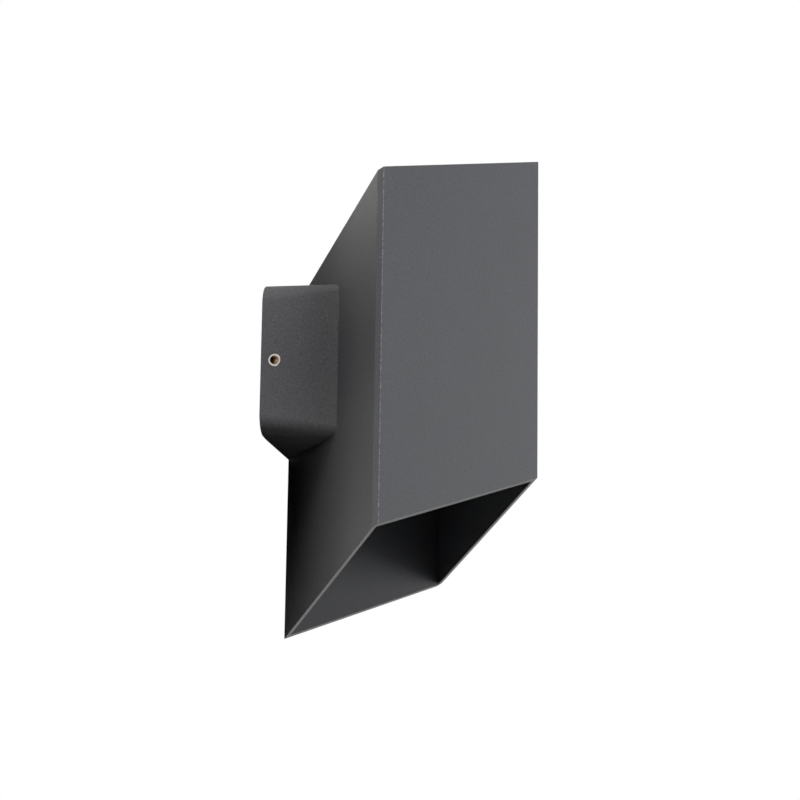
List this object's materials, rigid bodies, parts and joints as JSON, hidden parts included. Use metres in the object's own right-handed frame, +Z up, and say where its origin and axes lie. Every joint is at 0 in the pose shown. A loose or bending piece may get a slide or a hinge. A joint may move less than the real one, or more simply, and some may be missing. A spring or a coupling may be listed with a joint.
{
  "type": "wall light",
  "caption": "Outdoor wall light: a rhombic tube shade with slant-cut open ends on a shallow wall box, shining up and down.",
  "frame": {"origin": "on the wall, at the middle of the wall bracket's screw pattern and of the wall box", "axes": "+X to the right of someone facing the wall, +Y into the wall, +Z up"},
  "size_m": [0.2, 0.0998, 0.1928],
  "materials": {
    "anthracite_coat": "fine-textured matt anthracite powder coat",
    "zinc_plated_steel": "zinc plated sheet, satin",
    "tinned_copper": "tinned, satin",
    "stainless_steel": "machined stainless steel",
    "brass": "turned brass",
    "black_rubber": "matt black moulded rubber",
    "cast_aluminium": "bare die casting",
    "bezel_coat": "matt black powder coat",
    "circuit_board": "white solder mask",
    "phosphor": "yellow silicone phosphor",
    "bright_aluminium": "bright anodised reflector",
    "clear_glass": "clear toughened glass",
    "driver_case": "white moulded plastic",
    "thermal_pad": "soft silicone pad",
    "terminal_plastic": "natural polyamide",
    "live_insulation": "brown silicone insulation",
    "neutral_insulation": "blue silicone insulation",
    "earth_insulation": "green and yellow silicone insulation",
    "red_insulation": "red silicone insulation",
    "black_insulation": "black silicone insulation"
  },
  "bodies": {
    "bracket": {"wall_bracket": "zinc_plated_steel", "cable_bush": "black_rubber", "bracket_earth_screw": "brass", "bracket_earth_nut": "brass"},
    "housing": {"shade": "anthracite_coat", "wall_box": "anthracite_coat", "earth_tag": "tinned_copper", "box_screws": "stainless_steel", "board_screws": "stainless_steel", "bezel_screws": "stainless_steel", "terminal_screws": "brass", "earth_screw": "brass", "wall_seal": "black_rubber", "upper_gasket": "black_rubber", "lower_gasket": "black_rubber", "lead_grommet": "black_rubber", "upper_heat_sink": "cast_aluminium", "lower_heat_sink": "cast_aluminium", "upper_bezel": "bezel_coat", "lower_bezel": "bezel_coat", "upper_led_board": "circuit_board", "lower_led_board": "circuit_board", "upper_led": "phosphor", "lower_led": "phosphor", "upper_reflector": "bright_aluminium", "lower_reflector": "bright_aluminium", "upper_glass": "clear_glass", "lower_glass": "clear_glass", "led_driver": "driver_case", "driver_pad": "thermal_pad", "terminal_block": "terminal_plastic", "live_lead": "live_insulation", "neutral_lead": "neutral_insulation", "earth_lead": "earth_insulation", "led_plus_leads": "red_insulation", "led_minus_leads": "black_insulation"},
    "left_grub": {"grub_screw_left": "stainless_steel"},
    "right_grub": {"grub_screw_right": "stainless_steel"}
  },
  "joints": [
    {"name": "housing_lift_off", "type": "slide", "parent": "bracket", "child": "housing", "axis": [0, -1, 0], "range_m": [0, 0.03]},
    {"name": "left_grub_travel", "type": "slide", "parent": "housing", "child": "left_grub", "axis": [-1, 0, 0], "range_m": [0, 0.003]},
    {"name": "right_grub_travel", "type": "slide", "parent": "housing", "child": "right_grub", "axis": [1, 0, 0], "range_m": [0, 0.003]}
  ]
}
